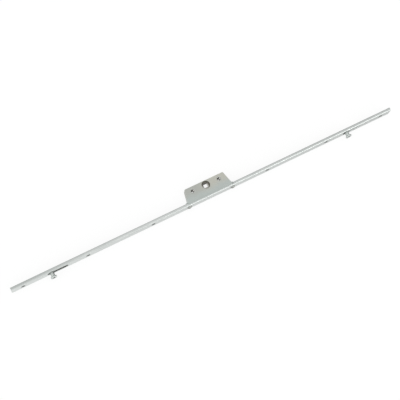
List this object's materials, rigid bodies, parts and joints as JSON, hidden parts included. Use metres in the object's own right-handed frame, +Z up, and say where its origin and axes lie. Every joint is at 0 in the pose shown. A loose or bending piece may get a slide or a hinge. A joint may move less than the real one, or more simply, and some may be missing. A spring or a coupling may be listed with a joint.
{
  "type": "window espagnolette gearbox",
  "caption": "Full-length window espagnolette: channel faceplate rail with a sliding drive bar, mushroom locking cams and a gearbox turned by a square spindle.",
  "frame": {"origin": "middle of the faceplate rail's front face, level with the spindle along the rail", "axes": "+X along the rail, +Y from the rail's front face towards the back of the gearbox, +Z up, along the spindle"},
  "size_m": [0.622, 0.0331, 0.016],
  "materials": {
    "zinc_plate": "bright zinc plating on rolled steel strip, satin",
    "oiled_steel": "cold-drawn flat steel, dark with grease",
    "spring_steel": "hardened spring steel strip, dark satin",
    "turned_steel": "turned and peened steel, dull",
    "cam_steel": "turned steel with bright zinc plating, satin",
    "zinc_cast": "zinc-alloy die casting, fine satin grain",
    "hub_cast": "sintered steel, greased, dark satin"
  },
  "bodies": {
    "rail_and_case": {"faceplate_rail": "zinc_plate", "bar_clip_1": "spring_steel", "bar_clip_2": "spring_steel", "bar_clip_3": "spring_steel", "bar_clip_4": "spring_steel", "case_body": "zinc_cast", "case_cover": "zinc_cast", "case_rivet_left": "turned_steel", "case_rivet_right": "turned_steel", "handle_bush_left": "turned_steel", "handle_bush_right": "turned_steel"},
    "drive": {"drive_bar": "oiled_steel", "drive_rack": "hub_cast", "rack_rivet_left": "turned_steel", "rack_rivet_right": "turned_steel", "cam_washer_left": "turned_steel", "cam_washer_right": "turned_steel"},
    "hub": {"hub_pinion": "hub_cast"},
    "left_cam": {"mushroom_cam_left": "cam_steel"},
    "right_cam": {"mushroom_cam_right": "cam_steel"}
  },
  "joints": [
    {"name": "bar_slide", "type": "slide", "parent": "rail_and_case", "child": "drive", "axis": [1, 0, 0], "range_m": [0, 0.01885]},
    {"name": "hub_turn", "type": "hinge", "parent": "rail_and_case", "child": "hub", "pos_m": [0, 0.0184, 0], "axis": [0, 0, 1], "range_deg": [0, 90]},
    {"name": "left_cam_turn", "type": "hinge", "parent": "drive", "child": "left_cam", "pos_m": [-0.25062, 0, 0], "axis": [0, -1, 0], "continuous": true},
    {"name": "right_cam_turn", "type": "hinge", "parent": "drive", "child": "right_cam", "pos_m": [0.23338, 0, 0], "axis": [0, -1, 0], "continuous": true}
  ],
  "couplings": [
    {"joint": "hub_turn", "follows": "bar_slide", "rad_per_m": 83.333}
  ]
}
